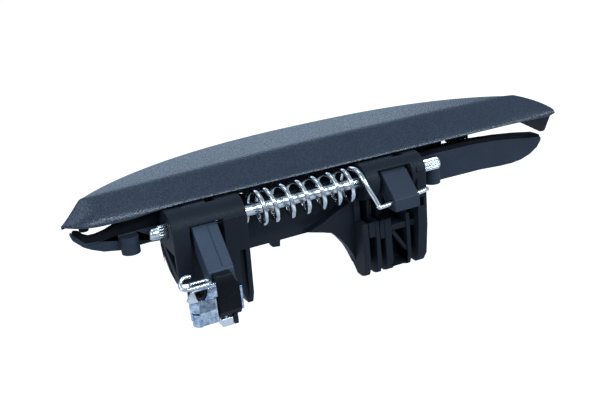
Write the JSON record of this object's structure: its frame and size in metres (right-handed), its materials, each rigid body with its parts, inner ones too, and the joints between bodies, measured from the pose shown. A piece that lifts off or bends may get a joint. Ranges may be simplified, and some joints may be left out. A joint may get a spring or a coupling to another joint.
{
  "type": "car door handle",
  "caption": "Flap-type exterior car door handle: a long grained flap that lifts on a knurled pin against a torsion spring, with a release lever and rod clip.",
  "frame": {"origin": "midway between the two fixing bosses, on their end faces", "axes": "+X along the handle, +Z out of the door towards the flap's outer face, -Y towards the hinge side"},
  "size_m": [0.2102, 0.0618, 0.0585],
  "materials": {
    "carrier": "fine grained, dark blue-black glass-filled nylon",
    "threaded_inserts": "plain turned brass",
    "hinge_pin": "zinc plated, drawn finish, knurled ends",
    "torsion_spring": "bright zinc plated spring wire",
    "gasket_left": "closed-cell foam, dull black",
    "gasket_right": "closed-cell foam, dull black",
    "bump_stops": "moulded rubber, dull black",
    "flap_cover": "grained satin, dark slate blue",
    "cover_buffers": "moulded rubber, dull black",
    "flap_frame": "satin slate-grey glass-filled nylon",
    "frame_screws": "zinc plated",
    "pivot_bush_left": "natural acetal",
    "pivot_bush_right": "natural acetal",
    "lever_head": "smooth black",
    "adjuster_screw": "zinc plated",
    "adjuster_nut": "bright zinc plated",
    "rod_clip": "bright zinc plated sheet with rolled edges",
    "clip_rivet": "zinc plated",
    "rivet_plate": "bright zinc plated sheet",
    "rod_grommet": "black moulded plastic",
    "clip_wire": "bright zinc plated wire"
  },
  "bodies": {
    "base": {"carrier": "carrier", "threaded_inserts": "threaded_inserts", "hinge_pin": "hinge_pin", "torsion_spring": "torsion_spring", "gasket_left": "gasket_left", "gasket_right": "gasket_right", "bump_stops": "bump_stops"},
    "flap": {"flap_cover": "flap_cover", "cover_buffers": "cover_buffers", "flap_frame": "flap_frame", "frame_screws": "frame_screws", "pivot_bush_left": "pivot_bush_left", "pivot_bush_right": "pivot_bush_right", "lever_head": "lever_head", "adjuster_screw": "adjuster_screw", "adjuster_nut": "adjuster_nut"},
    "clip": {"rod_clip": "rod_clip", "clip_rivet": "clip_rivet", "rivet_plate": "rivet_plate", "rod_grommet": "rod_grommet"},
    "wire": {"clip_wire": "clip_wire"}
  },
  "joints": [
    {"name": "flap_hinge", "type": "hinge", "parent": "base", "child": "flap", "pos_m": [0.0022, -0.0065, 0.0073], "axis": [1, 0, 0], "range_deg": [0, 32], "stiffness_Nm_per_rad": 0.36, "springref_deg": -40.11, "deforming": ["torsion_spring"]},
    {"name": "rod_clip_swivel", "type": "hinge", "parent": "flap", "child": "clip", "pos_m": [-0.0398, -0.0245, -0.0133], "axis": [1, 0, 0], "range_deg": [-20, 20]},
    {"name": "clip_wire_latch", "type": "hinge", "parent": "clip", "child": "wire", "pos_m": [-0.0532, -0.0275, -0.0061], "axis": [0, -1, 0], "range_deg": [0, 70]}
  ]
}
